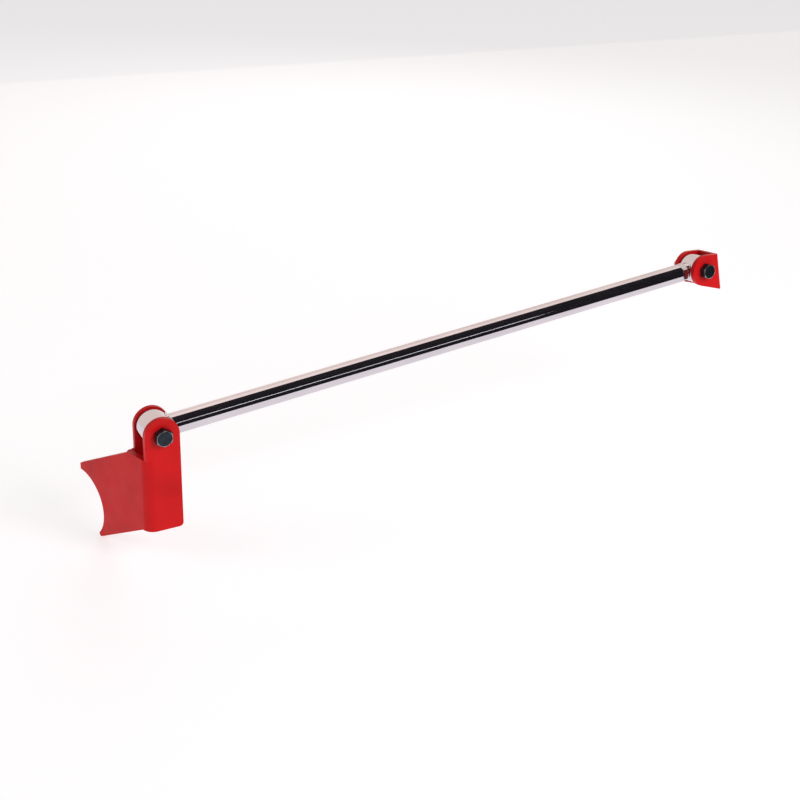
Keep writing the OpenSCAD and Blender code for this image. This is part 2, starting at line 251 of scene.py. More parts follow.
def hex_solid(name, rings, place, axis="Y", segments=120, bored=True):
    """A hexagonal piece; its bore closes the loop, or two flat ends do. The chamfers' rims are marked, and the
    materials that read the mark put a painted highlight on them.
    """
    verts = []
    for ring in rings:
        for j in range(segments):
            angle = math.tau * j / segments
            station, radius = ring(angle)
            verts.append(along(axis, station, radius, angle))
    if bored:
        faces = grid_faces(len(rings), segments, True)
    else:
        verts.append(along(axis, rings[0](0)[0], 0, 0))
        verts.append(along(axis, rings[-1](0)[0], 0, 0))
        faces = rod_faces(len(rings), segments)
    piece = new_mesh_object(name, verts, faces, place, mark_rounded_edges=False)
    # Marks the chamfer rims, where the dark bolt and the machined plate get a painted highlight
    first = 2 if bored else 1
    mark = piece.data.color_attributes[WEAR_AND_HIGHLIGHT_LAYER]
    for polygon in piece.data.polygons:
        if polygon.index // segments in (first, first + 4):
            for loop in polygon.loop_indices:
                mark.data[loop].color = (1.0, 1.0, 1.0, 1.0)
    return piece


def threaded_surface(start, end, radius, pitch, depth, axis, segments=40, steps=6):
    """Rows of a right-hand thread that runs out at both ends, and how many of what size."""
    rows = max(2, int((end - start) / pitch * steps))
    verts = []
    for i in range(rows + 1):
        station = start + (end - start) * i / rows
        fade = min(1.0, (station - start) / pitch, (end - station) / pitch)
        for j in range(segments):
            turn = j / segments
            phase = (station / pitch - turn) % 1.0
            height = abs(2 * phase - 1)
            groove = depth * (1 - height) * max(0.0, fade) + depth * 0.9 * (1 - max(0.0, fade))
            verts.append(along(axis, station, radius - groove, math.tau * turn))
    return verts, rows + 1, segments


def threaded_rod(name, start, end, radius, pitch, depth, axis, place):
    """A solid rod with a thread along its whole length."""
    verts, rows, segments = threaded_surface(start, end, radius, pitch, depth, axis)
    verts.append(along(axis, start, 0, 0))
    verts.append(along(axis, end, 0, 0))
    return new_mesh_object(name, verts, rod_faces(rows, segments), place, mark_rounded_edges=False)


def join(name, pieces):
    """One object from several, each kept as its own closed surface."""
    bm = bmesh.new()
    for piece in pieces:
        bm.from_mesh(piece.data)
    mesh = bpy.data.meshes.new(name)
    bm.to_mesh(mesh)
    bm.free()
    for piece in pieces:
        bpy.data.objects.remove(piece)
    whole = bpy.data.objects.new(name, mesh)
    bpy.context.scene.collection.objects.link(whole)
    return whole


def bead(name, path, normals, radius, ripple, pitch, place, closed=True, sides=14, ground=None):
    """A weld bead of overlapping scallops along a path; ground is where its sides are cut flat."""
    count = len(path)
    points = [Vector(p) for p in path]
    verts = []
    travelled = 0.0
    for i, point in enumerate(points):
        following = points[(i + 1) % count] if closed or i + 1 < count else point
        before = points[i - 1] if closed or i > 0 else point
        tangent = (following - before).normalized()
        travelled += (point - before).length if i else 0.0
        normal = Vector(normals[i])
        normal = (normal - normal.dot(tangent) * tangent).normalized()
        side = tangent.cross(normal)
        scallop = abs(math.sin(math.pi * travelled / pitch))
        taper = 1.0
        if not closed:
            ends = min(i, count - 1 - i) / 6.0
            taper = math.sqrt(max(0.02, min(1.0, ends * (2 - min(1.0, ends)))))
        size = radius * taper * (1.0 + ripple * (scallop - 0.5))
        for j in range(sides):
            angle = math.tau * j / sides
            vert = point + size * (math.cos(angle) * normal + math.sin(angle) * side)
            if ground:
                vert.y = max(-ground, min(ground, vert.y))
            verts.append(vert)
    if closed:
        faces = grid_faces(count, sides, True)
    else:
        verts += [points[0], points[-1]]
        faces = rod_faces(count, sides)
    return new_mesh_object(name, verts, faces, place, mark_rounded_edges=False)


def eased_copy(name, node, edge, segments=3):
    """The node's own shape as a new piece, with its edges rounded like a coated plate's."""
    source = frame["nodes"][node]
    bm = bmesh.new()
    bm.from_mesh(source.data)
    bmesh.ops.remove_doubles(bm, verts=bm.verts, dist=2e-6)
    bmesh.ops.dissolve_limit(bm, angle_limit=math.radians(1.0), verts=bm.verts, edges=bm.edges)
    bmesh.ops.recalc_face_normals(bm, faces=bm.faces)
    sharp = [
        corner for corner in bm.edges
        if len(corner.link_faces) == 2 and corner.calc_face_angle(0.0) > PLATE_CORNER
    ]
    bmesh.ops.bevel(
        bm, geom=sharp, offset=edge, offset_type="OFFSET", segments=segments, profile=0.5,
        affect="EDGES", clamp_overlap=True, harden_normals=False,
    )
    mark_wear_and_highlight_edges(bm)
    mesh = bpy.data.meshes.new(name)
    bm.to_mesh(mesh)
    bm.free()
    piece = bpy.data.objects.new(name, mesh)
    bpy.context.scene.collection.objects.link(piece)
    return piece


def finish_piece(piece, body, nodes, material, angle=35.0):
    """Gives a piece its finish and its body, and hides the nodes that it stands for."""
    smooth(piece, angle)
    weighted = piece.modifiers.new("flat_faces", "WEIGHTED_NORMAL")
    weighted.keep_sharp = True
    weighted.weight = 80
    piece.data.materials.clear()
    piece.data.materials.append(material)
    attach(piece, body)
    if nodes:
        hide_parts(*nodes)
    return piece


# ---- Materials ---------------------------------------------------------------

class Surface:
    """A small builder for one procedural material."""

    def __init__(self, name, colour, metallic, roughness):
        self.material = bpy.data.materials.new(name)
        self.material.use_nodes = True
        self.tree = self.material.node_tree
        self.shader = self.tree.nodes["Principled BSDF"]
        self.shader.inputs["Metallic"].default_value = metallic
        self.shader.inputs["Roughness"].default_value = roughness
        self.shader.inputs["Base Color"].default_value = (*colour, 1.0)
        self.place = self.tree.nodes.new("ShaderNodeTexCoord").outputs["Object"]
        self.height = None

    def set(self, socket, value):
        """Sets one of the shader's own sockets."""
        self.shader.inputs[socket].default_value = value

    def noise(self, scale, detail=3.0, rough=0.5, stretch=None):
        """Noise in the object's own coordinates; stretch scales it along each axis."""
        node = self.tree.nodes.new("ShaderNodeTexNoise")
        node.inputs["Scale"].default_value = scale
        node.inputs["Detail"].default_value = detail
        node.inputs["Roughness"].default_value = rough
        source = self.place
        if stretch:
            mapping = self.tree.nodes.new("ShaderNodeMapping")
            mapping.inputs["Scale"].default_value = stretch
            self.tree.links.new(self.place, mapping.inputs["Vector"])
            source = mapping.outputs["Vector"]
        self.tree.links.new(source, node.inputs["Vector"])
        return node.outputs["Fac"]

    def ramp(self, source, stops):
        """Colours along a 0 to 1 value: stops are (position, colour) pairs."""
        node = self.tree.nodes.new("ShaderNodeValToRGB")
        node.color_ramp.elements[0].position = stops[0][0]
        node.color_ramp.elements[0].color = (*stops[0][1], 1.0)
        node.color_ramp.elements[1].position = stops[-1][0]
        node.color_ramp.elements[1].color = (*stops[-1][1], 1.0)
        for position, colour in stops[1:-1]:
            element = node.color_ramp.elements.new(position)
            element.color = (*colour, 1.0)
        self.tree.links.new(source, node.inputs["Fac"])
        return node.outputs["Color"]

    def spread(self, source, low, high):
        """A value mapped from the middle of a noise to a range."""
        node = self.tree.nodes.new("ShaderNodeMapRange")
        node.inputs["From Min"].default_value = 0.3
        node.inputs["From Max"].default_value = 0.7
        node.inputs["To Min"].default_value = low
        node.inputs["To Max"].default_value = high
        self.tree.links.new(source, node.inputs["Value"])
        return node.outputs["Result"]

    def edge_mask(self, least, most):
        """0 on flats and up to most on rounded edges, broken up by noise."""
        mark = self.tree.nodes.new("ShaderNodeAttribute")
        mark.attribute_name = WEAR_AND_HIGHLIGHT_LAYER
        # The mark carries rubbed wear on the red paint and a painted highlight on the bolts and machined plate,
        # broken up by noise
        rubbed_or_lit = self.spread(self.noise(300, 3), least, most)
        node = self.tree.nodes.new("ShaderNodeMath")
        node.operation = "MULTIPLY"
        self.tree.links.new(mark.outputs["Fac"], node.inputs[0])
        self.tree.links.new(rubbed_or_lit, node.inputs[1])
        return node.outputs["Value"]

    def mix(self, share, first, second):
        """Two colours mixed by a share; each may be a value or another node's output."""
        node = self.tree.nodes.new("ShaderNodeMix")
        node.data_type = "RGBA"
        sockets = (node.inputs[0], node.inputs[6], node.inputs[7])
        for socket, value in zip(sockets, (share, first, second)):
            if isinstance(value, (tuple, float)):
                socket.default_value = value if isinstance(value, float) else (*value, 1.0)
            else:
                self.tree.links.new(value, socket)
        return node.outputs[2]

    def colour(self, source):
        """Takes the base colour from a node's output."""
        self.tree.links.new(source, self.shader.inputs["Base Color"])

    def roughness(self, source):
        """Takes the roughness from a node's output."""
        self.tree.links.new(source, self.shader.inputs["Roughness"])

    def bump(self, source, strength, distance):
        """Adds a bump over those already there."""
        node = self.tree.nodes.new("ShaderNodeBump")
        node.inputs["Strength"].default_value = strength
        node.inputs["Distance"].default_value = distance
        self.tree.links.new(source, node.inputs["Height"])
        if self.height is not None:
            self.tree.links.new(self.height, node.inputs["Normal"])
        self.height = node.outputs["Normal"]
        self.tree.links.new(self.height, self.shader.inputs["Normal"])


def shade(colour, factor):
    """A colour made lighter or darker by a factor."""
    return tuple(min(1.0, channel * factor) for channel in colour)


def red_paint(colours):
    """Powder coat: a fine orange peel, slow drifts in colour and thinner paint on the edges."""
    base = tuple(colours.paint)
    s = Surface("red_powder_coat", base, 0.0, 0.38)
    drift = s.ramp(s.noise(18, 4), [(0.3, shade(base, 0.84)), (0.5, base), (0.72, shade(base, 1.1))])
    s.colour(s.mix(s.edge_mask(0.25, 0.8), drift, shade(base, 0.5)))
    s.roughness(s.spread(s.noise(60, 3), 0.3, 0.46))
    s.bump(s.noise(650, 2), 0.16, 0.0004)
    s.bump(s.noise(70, 2), 0.1, 0.0006)
    s.set("Coat Weight", 0.03)
    s.set("Coat Roughness", 0.25)
    s.set("Specular IOR Level", 0.1)
    return s.material


def chrome_plate(colours):
    """Bright plate with a faint haze and the fine circular lines of the polishing under it."""
    base = tuple(colours.plate)
    s = Surface("chrome_plate", base, 1.0, 0.07)
    s.colour(s.ramp(s.noise(14, 3), [(0.3, shade(base, 0.94)), (0.7, shade(base, 1.04))]))
    s.roughness(s.spread(s.noise(40, 4), 0.04, 0.1))
    s.bump(s.noise(30, 2, 0.4, (60, 1, 1)), 0.02, 0.0002)
    return s.material


def plated_machined(colours):
    """Plated machined steel, a little duller than the tube."""
    base = shade(tuple(colours.plate), 0.9)
    s = Surface("plated_machined", base, 1.0, 0.2)
    drift = s.ramp(s.noise(120, 3), [(0.3, shade(base, 0.86)), (0.7, base)])
    # Painted highlight: the marked edges are made a fifth lighter
    s.colour(s.mix(s.edge_mask(0.3, 0.9), drift, shade(base, 1.2)))
    s.roughness(s.spread(s.noise(220, 3), 0.12, 0.28))
    s.bump(s.noise(500, 2), 0.06, 0.0002)
    return s.material


def dark_bolt(colours):
    """Blue-black oxide with a painted highlight along its edges: the marked rims are mixed towards pale grey."""
    base = tuple(colours.bolt)
    s = Surface("dark_oxide", base, 0.75, 0.34)
    body = s.ramp(s.noise(180, 4), [(0.3, shade(base, 0.7)), (0.7, shade(base, 1.3))])
    # Painted highlight: the marked rims and edges are mixed towards pale grey
    s.colour(s.mix(s.edge_mask(0.4, 1.0), body, (0.62, 0.62, 0.64)))
    s.roughness(s.spread(s.noise(260, 3), 0.26, 0.44))
    s.bump(s.noise(420, 2), 0.1, 0.0002)
    return s.material


def pale_zinc(colours):
    """Zinc plate with a faint warm and blue cast."""
    base = tuple(colours.zinc)
    s = Surface("pale_zinc", base, 1.0, 0.3)
    bluish = (base[0] * 0.94, base[1] * 0.98, base[2] * 1.06)
    yellowish = (base[0] * 1.04, base[1], base[2] * 0.92)
    s.colour(s.ramp(s.noise(90, 3), [(0.3, bluish), (0.7, yellowish)]))
    s.roughness(s.spread(s.noise(200, 3), 0.22, 0.4))
    s.bump(s.noise(360, 2), 0.08, 0.0002)
    return s.material


def turned_steel(colours):
    """Bare turned steel with tool lines round it."""
    base = shade(tuple(colours.zinc), 0.8)
    s = Surface("turned_steel", base, 1.0, 0.34)
    s.colour(s.ramp(s.noise(70, 3), [(0.3, shade(base, 0.85)), (0.7, base)]))
    s.roughness(s.spread(s.noise(150, 3), 0.28, 0.45))
    s.bump(s.noise(200, 2, 0.5, (1, 20, 1)), 0.15, 0.0002)
    return s.material


def black_urethane(colours):
    """Cast urethane: near black, with a soft sheen and mould texture."""
    base = tuple(colours.bushing)
    s = Surface("black_urethane", base, 0.0, 0.5)
    s.colour(s.ramp(s.noise(50, 3), [(0.3, shade(base, 0.8)), (0.7, shade(base, 1.4))]))
    s.roughness(s.spread(s.noise(130, 3), 0.42, 0.6))
    s.bump(s.noise(320, 3), 0.15, 0.0003)
    s.set("Sheen Weight", 0.1)
    return s.material


def white_nylon(colours):
    """Nylon lock ring, slightly translucent."""
    base = tuple(colours.nylon)
    s = Surface("white_nylon", base, 0.0, 0.4)
    s.colour(s.ramp(s.noise(90, 2), [(0.3, shade(base, 0.93)), (0.7, base)]))
    s.roughness(s.spread(s.noise(200, 2), 0.34, 0.5))
    s.bump(s.noise(300, 2), 0.08, 0.0002)
    s.set("Subsurface Weight", 0.1)
    s.set("Subsurface Scale", 0.002)
    return s.material


FINISHES = {
    "red_paint": red_paint, "painted_weld": red_paint, "chrome": chrome_plate,
    "plated_weld": chrome_plate, "plated_nut": plated_machined, "dark_bolt": dark_bolt,
    "zinc": pale_zinc, "sleeve_steel": turned_steel, "urethane": black_urethane, "nylon": white_nylon,
}
made = {}


def finish(slot):
    """The material of a record slot, made once."""
    maker = FINISHES[slot]
    if maker not in made:
        made[maker] = maker(bpy.context.scene.track_bar_colours)
    return made[maker]


# ---- Properties --------------------------------------------------------------

def length(name, description, millimetres, low=0.1, high=1200.0):
    """A length property whose default and limits are given in millimetres."""
    return bpy.props.FloatProperty(
        name=name, description=description, default=millimetres * MM,
        min=low * MM, max=high * MM, subtype="DISTANCE", unit="LENGTH", precision=4,
    )


def tint(name, description, colour):
    """A colour property."""
    return bpy.props.FloatVectorProperty(
        name=name, description=description, default=colour, min=0.0, max=1.0, size=3, subtype="COLOR",
    )


class TrackBarSizes(bpy.types.PropertyGroup):
    tube_od: length("Tube diameter", "Outside diameter of the tube", 25.4)
    tube_wall: length("Tube wall", "Wall thickness of the tube", 3.0)
    tube_setback: length("Tube setback", "From the frame bolt's centre to the tube's end", 33.0)
    eye_od: length("Eye diameter", "Outside diameter of the eye barrels", 38.1)
    eye_wall: length("Eye wall", "Wall thickness of the eye barrels", 3.2)
    ear_gap: length("Ear gap", "Clear gap between a bracket's ears", 27.5)
    plate: length("Plate", "Thickness of the bracket plate", 6.35)
    side_play: length("Side play", "Gap between a bushing and each ear", 0.3, 0.05)
    bushing_flange: length("Bushing flange", "Thickness of a bushing's flange", 2.0)
    bushing_flange_d: length("Bushing flange diameter", "Outside diameter of the bushing flanges", 37.0)
    sleeve_od: length("Sleeve diameter", "Outside diameter of the steel sleeves", 19.0)
    plate_edge: length("Plate edge", "Radius of the brackets' eased edges", 0.7, 0.05)


class TrackBarHardware(bpy.types.PropertyGroup):
    bolt_d: length("Bolt diameter", "Diameter of both bolts", 12.7)
    hex_af: length("Hexagon", "Width across the flats of heads and nuts", 19.05)
    head_h: length("Head height", "Height of the bolt heads", 8.6)
    nut_h: length("Nut height", "Height of the nuts' hexagon", 10.0)
    collar_h: length("Collar height", "Height of the lock nuts' collar", 4.0)
    collar_r: length("Collar radius", "Radius of the lock nuts' collar", 8.4)
    insert_r: length("Insert radius", "Radius of the nylon inserts", 7.6)
    washer_d: length("Washer diameter", "Outside diameter of the flat washers", 27.0)
    washer_h: length("Washer thickness", "Thickness of the flat washers", 2.5)
    bolt_pitch: length("Bolt pitch", "Thread pitch of the bolts", 1.954)
    stud_d: length("Stud diameter", "Diameter of the threaded stud", 15.875)
    stud_pitch: length("Stud pitch", "Thread pitch of the stud", 1.411)
    stud_len: length("Stud length", "Length of the stud's thread", 50.0)
    jam_af: length("Jam nut", "Width across the flats of the jam nut", 23.8)
    jam_h: length("Jam nut height", "Thickness of the jam nut", 9.2)
    neck_d: length("Neck diameter", "Diameter of the stud's neck", 23.0)


class TrackBarColours(bpy.types.PropertyGroup):
    paint: tint("Paint", "Powder coat of the brackets", (0.60, 0.008, 0.010))
    plate: tint("Plate", "Chrome of the tube and eyes", (0.66, 0.61, 0.66))
    bolt: tint("Bolt", "Dark oxide of the bolts", (0.022, 0.032, 0.042))
    zinc: tint("Zinc", "Plate of the nuts and washers", (0.66, 0.66, 0.67))
    bushing: tint("Bushing", "Cast urethane", (0.012, 0.012, 0.014))
    nylon: tint("Nylon", "Lock ring", (0.78, 0.78, 0.72))
    floor: tint("Floor", "Studio floor", (0.52, 0.51, 0.52))


def angle(name, description, degrees):
    """An angle property whose default is given in degrees."""
    return bpy.props.FloatProperty(
        name=name, description=description, default=math.radians(degrees),
        subtype="ANGLE", unit="ROTATION",
    )


def power(name, description, watts):
    """A light's power property."""
    return bpy.props.FloatProperty(name=name, description=description, default=watts, unit="POWER")


class TrackBarStudio(bpy.types.PropertyGroup):
    azimuth: angle("Azimuth", "Camera's turn from straight on, to the left of the object", 31.635)
    elevation: angle("Elevation", "Camera's height above level", 25.642)
    roll: angle("Roll", "Camera's turn about its own axis", -2.780)
    distance: length("Distance", "Camera's distance from its aim point", 1589.6, 100.0, 20000.0)
    aim_along: length("Aim along", "Aim point's distance along X from the axle bolt", 321.26)
    aim_drop: length("Aim drop", "Aim point's depth below the axle bolt", 30.31)
    focal: bpy.props.FloatProperty(
        name="Focal length", description="Focal length of the lens", default=56.82, unit="CAMERA",
    )
    key_power: power("Key light", "Power of the light in front and above", 52.0)
    fill_power: power("Fill light", "Power of the light on the left", 19.0)
    back_power: power("Back light", "Power of the light behind", 14.0)
    floor_glow: bpy.props.FloatProperty(
        name="Floor glow", description="How much light the floor gives off", default=0.66, min=0.0,
    )
    room_glow: bpy.props.FloatProperty(
        name="Room glow", description="How much light the room gives off", default=0.55, min=0.0,
    )


# ---- Pieces ------------------------------------------------------------------

def outer_half():
    """Half the width over a bracket's two ears."""
    sizes = bpy.context.scene.track_bar_sizes
    return sizes.ear_gap / 2 + sizes.plate


# The bar's two ends: where each eye and each bolt stands, and the body that it rides on
ENDS = {
    "axle": {
        "eye_place": BAR_PLACE, "eye_body": "bar",
        "bolt_place": AXLE_PLACE, "bolt_body": "axle_mount",
    },
    "frame": {
        "eye_place": EYE_PLACE, "eye_body": "frame_eye",
        "bolt_place": BRACKET_PLACE, "bolt_body": "frame_mount",
    },
}
PLATES = {"axle_bracket": "axle_mount", "axle_back_ear": "axle_mount", "frame_bracket": "frame_mount"}


class TRACKBAR_OT_brackets(bpy.types.Operator):
    """Coats the axle bracket, its back ear and the frame bracket, with eased plate edges"""
    bl_idname = "trackbar.brackets"
    bl_label = "Brackets"

    def execute(self, context):
        edge = context.scene.track_bar_sizes.plate_edge
        for node, body in PLATES.items():
            piece = eased_copy(node + "_coated", node, edge)
            finish_piece(piece, body, [node], finish("red_paint"), 40.0)
        return {"FINISHED"}


class TRACKBAR_OT_bracket_weld(bpy.types.Operator):
    """Lays the weld bead between the axle bracket's leg and its back ear"""
    bl_idname = "trackbar.bracket_weld"
    bl_label = "Bracket weld"

    def execute(self, context):
        low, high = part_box("axle_ear_weld")
        centre = (low + high) / 2
        radius = (high.x - low.x) / 2
        steps = 90
        path = []
        for i in range(steps):
            height = low.z + 0.4 * radius + (high.z - low.z - 0.8 * radius) * i / (steps - 1)
            path.append((centre.x, centre.y, height))
        piece = bead(
            "axle_ear_bead", path, [(0, 1, 0)] * steps, radius, 0.16, 2.6 * MM, Matrix.Identity(4),
            closed=False, sides=20,
        )
        coat = finish("painted_weld")
        finish_piece(piece, "axle_mount", ["axle_ear_weld"], coat, 60.0)
        return {"FINISHED"}


class TRACKBAR_OT_tube(bpy.types.Operator):
    """Draws the plated tube, coped over the axle eye and open at the frame end"""
    bl_idname = "trackbar.tube"
    bl_label = "Tube"

    def execute(self, context):
        sizes = context.scene.track_bar_sizes
        outer = sizes.tube_od / 2
        inner = outer - sizes.tube_wall
        end = BAR_LENGTH - sizes.tube_setback
        seat = sizes.eye_od / 2 - SEAT_GAP
        segments = 128
        edge = 0.5 * MM
        straight, middle = 28 * MM, 400 * MM
        stations = [straight + (end - edge - straight) * i / 24 for i in range(25)]
        rings = [(None, outer)] + [(s, outer) for s in stations]
        rings += [(end - 0.3 * edge, outer - 0.3 * edge), (end, outer - edge)]
        rings += [(end, inner + edge), (end - edge, inner)]
        rings += [(middle, inner), (straight, inner), (None, inner)]
        verts = []
        for station, radius in rings:
            for j in range(segments):
                turn = math.tau * j / segments
                height = radius * math.sin(turn)
                coped = math.sqrt(seat * seat - height * height)
                verts.append(along("X", coped if station is None else station, radius, turn))
        faces = grid_faces(len(rings), segments, True)
        piece = new_mesh_object("bar_tube_plated", verts, faces, BAR_PLACE)
        finish_piece(piece, "bar", ["bar_tube"], finish("chrome"), 30.0)
        return {"FINISHED"}


class TRACKBAR_OT_eyes(bpy.types.Operator):
    """Turns both eye barrels and the fillet welds that join them to the tube and the stud"""
    bl_idname = "trackbar.eyes"
    bl_label = "Eyes and fillets"

    def execute(self, context):
        sizes = context.scene.track_bar_sizes
        half = sizes.ear_gap / 2 - sizes.side_play - sizes.bushing_flange
        outer = sizes.eye_od / 2
        for end, place in ENDS.items():
            profile = rounded_tube_profile(-half, half, outer - sizes.eye_wall, outer, 0.6 * MM)
            piece = ring_solid(end + "_eye_barrel", profile, "Y", place["eye_place"], 128)
            finish_piece(piece, place["eye_body"], [end + "_eye"], finish("chrome"), 30.0)
        self.fillet("axle", 1, sizes.tube_od / 2, 2.0 * MM)
        self.fillet("frame", -1, context.scene.track_bar_hardware.neck_d / 2, 1.1 * MM)
        return {"FINISHED"}

    def fillet(self, end, side, radius, size):
        """A bead round the saddle-shaped line where a round bar meets the barrel."""
        barrel = bpy.context.scene.track_bar_sizes.eye_od / 2
        steps = 192
        path, normals = [], []
        for i in range(steps):
            turn = math.tau * i / steps
            height = radius * math.sin(turn)
            depth = math.sqrt(barrel * barrel - height * height)
            path.append((side * depth, radius * math.cos(turn), height))
            normals.append((side, math.cos(turn), math.sin(turn)))
        place = ENDS[end]
        sizes = bpy.context.scene.track_bar_sizes
        ground = sizes.ear_gap / 2 - sizes.side_play - 0.05 * MM
        piece = bead(
            end + "_eye_fillet", path, normals, size, 0.1, 2.2 * MM, place["eye_place"], ground=ground)
        plate = finish("plated_weld")
        finish_piece(piece, place["eye_body"], [end + "_eye_weld"], plate, 60.0)


class TRACKBAR_OT_bushings(bpy.types.Operator):
    """Casts the four bushing halves and turns the two sleeves"""
    bl_idname = "trackbar.bushings"
    bl_label = "Bushings and sleeves"

    def execute(self, context):
        sizes = context.scene.track_bar_sizes
        bore = sizes.sleeve_od / 2 + 0.05 * MM
        body_r = sizes.eye_od / 2 - sizes.eye_wall
        flange_r = sizes.bushing_flange_d / 2
        tip = sizes.ear_gap / 2 - sizes.side_play
        step = tip - sizes.bushing_flange
        round_r = 0.7 * MM
        for end, place in ENDS.items():
            for side, word in ((-1, "front"), (1, "back")):
                profile = [
                    (0.25 * MM, bore), (0.25 * MM, body_r - 0.5 * MM),
                    (0.75 * MM, body_r), (step, body_r),
                    (step, flange_r - round_r), (step + 0.3 * round_r, flange_r - 0.3 * round_r),
                    (step + round_r, flange_r), (tip - round_r, flange_r),
                    (tip - 0.3 * round_r, flange_r - 0.3 * round_r), (tip, flange_r - round_r),
                    (tip, bore + 0.4 * MM), (tip - 0.4 * MM, bore),
                ]
                profile = [(side * station, radius) for station, radius in profile]
                piece = ring_solid(f"{end}_bushing_{word}_cast", profile, "Y", place["eye_place"])
                node = f"{end}_bushing_{word}"
                finish_piece(piece, place["eye_body"], [node], finish("urethane"), 40.0)
            bolt_r = context.scene.track_bar_hardware.bolt_d / 2 + 0.25 * MM
            reach = sizes.ear_gap / 2
            profile = rounded_tube_profile(-reach, reach, bolt_r, sizes.sleeve_od / 2, 0.3 * MM)
            piece = ring_solid(end + "_sleeve_turned", profile, "Y", place["bolt_place"])
            steel = finish("sleeve_steel")
            finish_piece(piece, place["bolt_body"], [end + "_sleeve"], steel)
        return {"FINISHED"}


class TRACKBAR_OT_bolts(bpy.types.Operator):
    """Makes the two bolts, each with a chamfered head, a washer face and a rolled thread"""
    bl_idname = "trackbar.bolts"
    bl_label = "Bolts"

    def execute(self, context):
        sizes = context.scene.track_bar_hardware
        half = outer_half()
        radius = sizes.bolt_d / 2
        for end, place in ENDS.items():
            face = 0.5 * MM
            head_rings = hex_profile(-half - sizes.head_h, -half - face, sizes.hex_af, True, False)
            head = hex_solid("head", head_rings, place["bolt_place"], bored=False)
            face_r = sizes.hex_af / 2 * 0.97
            washer_face = rod_solid("washer_face", [
                (-half - face - 0.05 * MM, face_r), (-half - 0.02 * MM, face_r),
            ], "Y", place["bolt_place"])
            plain_end = half - 2 * MM
            shank_profile = [(-half - face, radius), (plain_end, radius)]
            shank = rod_solid("shank", shank_profile, "Y", place["bolt_place"])
            tip = half + sizes.washer_h + sizes.nut_h + sizes.collar_h + 2.5 * MM
            thread = threaded_rod(
                "thread", plain_end - 0.1 * MM, tip, radius, sizes.bolt_pitch, 0.9 * MM,
                "Y", place["bolt_place"],
            )
            piece = join(end + "_bolt_made", [head, washer_face, shank, thread])
            oxide = finish("dark_bolt")
            finish_piece(piece, place["bolt_body"], [end + "_bolt"], oxide, 28.0)
        return {"FINISHED"}


class TRACKBAR_OT_nuts(bpy.types.Operator):
    """Makes the lock nuts with their collars and nylon rings, and the flat washers"""
    bl_idname = "trackbar.nuts"
    bl_label = "Lock nuts and washers"

    def execute(self, context):
        sizes = context.scene.track_bar_hardware
        bore = sizes.bolt_d / 2 + 0.05 * MM
        start = outer_half() + sizes.washer_h
        top = start + sizes.nut_h
        for end, place in ENDS.items():
            rings = hex_profile(start, top, sizes.hex_af, True, True, bore)
            body = hex_solid("hexagon", rings, place["bolt_place"])
            lip = top + sizes.collar_h
            collar = ring_solid("collar", [
                (top - 0.4 * MM, sizes.insert_r), (top - 0.4 * MM, sizes.collar_r),
                (top + 2.4 * MM, sizes.collar_r), (lip - 1.0 * MM, sizes.collar_r - 0.15 * MM),
                (lip - 0.2 * MM, sizes.collar_r - 0.9 * MM),
                (lip, sizes.collar_r - 1.6 * MM), (lip - 0.3 * MM, sizes.collar_r - 1.9 * MM),
                (lip - 0.6 * MM, sizes.insert_r - 0.9 * MM), (lip - 0.6 * MM, sizes.insert_r),
            ], "Y", place["bolt_place"])
            piece = join(end + "_nut_made", [body, collar])
            finish_piece(piece, place["bolt_body"], [end + "_nut"], finish("zinc"), 28.0)
            profile = rounded_tube_profile(
                top + 0.05 * MM, lip - 0.65 * MM, bore, sizes.insert_r - 0.05 * MM, 0.4 * MM)
            ring = ring_solid(end + "_nut_ring", profile, "Y", place["bolt_place"])
            finish_piece(ring, place["bolt_body"], [end + "_nut_insert"], finish("nylon"))
            profile = rounded_tube_profile(
                outer_half(), start, bore + 0.2 * MM, sizes.washer_d / 2, 0.45 * MM)
            washer = ring_solid(end + "_washer_pressed", profile, "Y", place["bolt_place"])
            finish_piece(washer, place["bolt_body"], [end + "_nut_washer"], finish("zinc"))
        return {"FINISHED"}


